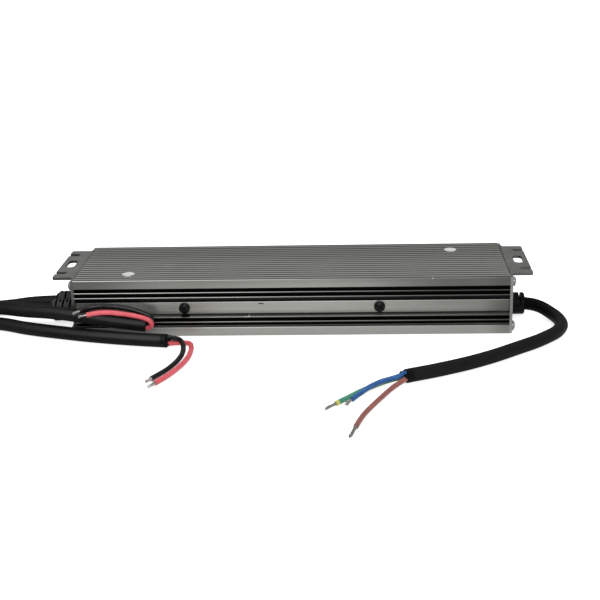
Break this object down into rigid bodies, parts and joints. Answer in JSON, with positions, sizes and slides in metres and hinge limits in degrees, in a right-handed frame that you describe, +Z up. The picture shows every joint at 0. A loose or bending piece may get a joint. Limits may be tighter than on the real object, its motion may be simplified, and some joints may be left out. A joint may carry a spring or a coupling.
{
  "type": "power supply",
  "caption": "Long flat power supply in a ribbed, finned aluminium extrusion with folded slotted end ears, moulded strain reliefs and loose cables with stripped cores.",
  "frame": {"origin": "middle of the flat face that the supply lies on, opposite the ribbed mounting face", "axes": "+X along the body to the mains input end, +Y across the body to its rear long side, +Z up to the ribbed mounting face"},
  "size_m": [0.4137, 0.1997, 0.033],
  "materials": {
    "extrusion": "natural anodised, matte, slightly warm grey",
    "plate_metal": "plain rolled sheet",
    "bright_steel": "nickel plated",
    "black_steel": "black oxide",
    "silicone": "matte silicone",
    "moulded_rubber": "moulded black",
    "jacket": "matte black sheath",
    "inner_cores": "wire insulation",
    "board": "green solder mask",
    "sheet": "insulating film",
    "fuse_caps": "plated caps",
    "blue_epoxy": "epoxy dipped",
    "ferrite": "sintered ferrite",
    "copper": "enamelled copper wire",
    "yellow_case": "yellow",
    "black_case": "black moulding",
    "can_sleeve": "printed sleeve left plain",
    "powder_core": "coated powder core",
    "brown_core": "wire insulation",
    "blue_core": "wire insulation",
    "earth_core": "green and yellow wire insulation",
    "tinned_copper": "tinned copper strands",
    "red_core": "wire insulation",
    "black_core": "wire insulation"
  },
  "bodies": {
    "root": {"housing": "extrusion", "input_end_plate": "plate_metal", "output_end_plate": "plate_metal", "input_end_screws": "bright_steel", "output_end_screws": "bright_steel", "side_clamp_screws": "black_steel", "filling_plugs": "bright_steel", "input_end_seal": "silicone", "output_end_seal": "silicone", "input_strain_relief": "moulded_rubber", "output_strain_relief_near": "moulded_rubber", "output_strain_relief_far": "moulded_rubber", "input_lead_tail": "jacket", "input_lead_cores": "inner_cores", "output_lead_tails": "jacket", "output_lead_cores": "inner_cores", "circuit_board": "board", "insulation_sheet": "sheet", "fuse": "fuse_caps", "surge_varistor": "blue_epoxy", "filter_choke_core": "ferrite", "filter_choke_windings": "copper", "filter_capacitor": "yellow_case", "bridge_rectifier": "black_case", "boost_choke_core": "ferrite", "boost_choke_bobbin": "black_case", "boost_choke_winding": "copper", "bulk_capacitors": "can_sleeve", "power_transistors": "black_case", "output_rectifiers": "black_case", "insulation_pads": "sheet", "clamp_bars": "bright_steel", "transformer_core": "ferrite", "transformer_bobbin": "black_case", "transformer_winding": "yellow_case", "output_choke_core": "powder_core", "output_choke_winding": "copper", "output_capacitors": "can_sleeve", "control_board": "board", "input_cable": "jacket", "input_core_brown": "brown_core", "input_core_blue": "blue_core", "input_core_earth": "earth_core", "input_bare_ends": "tinned_copper", "output_cable_a": "jacket", "output_a_core_red": "red_core", "output_a_core_black": "black_core", "output_a_bare_ends": "tinned_copper", "output_cable_b": "jacket", "output_b_core_red": "red_core", "output_b_core_black": "black_core", "output_b_bare_ends": "tinned_copper"}
  },
  "joints": []
}
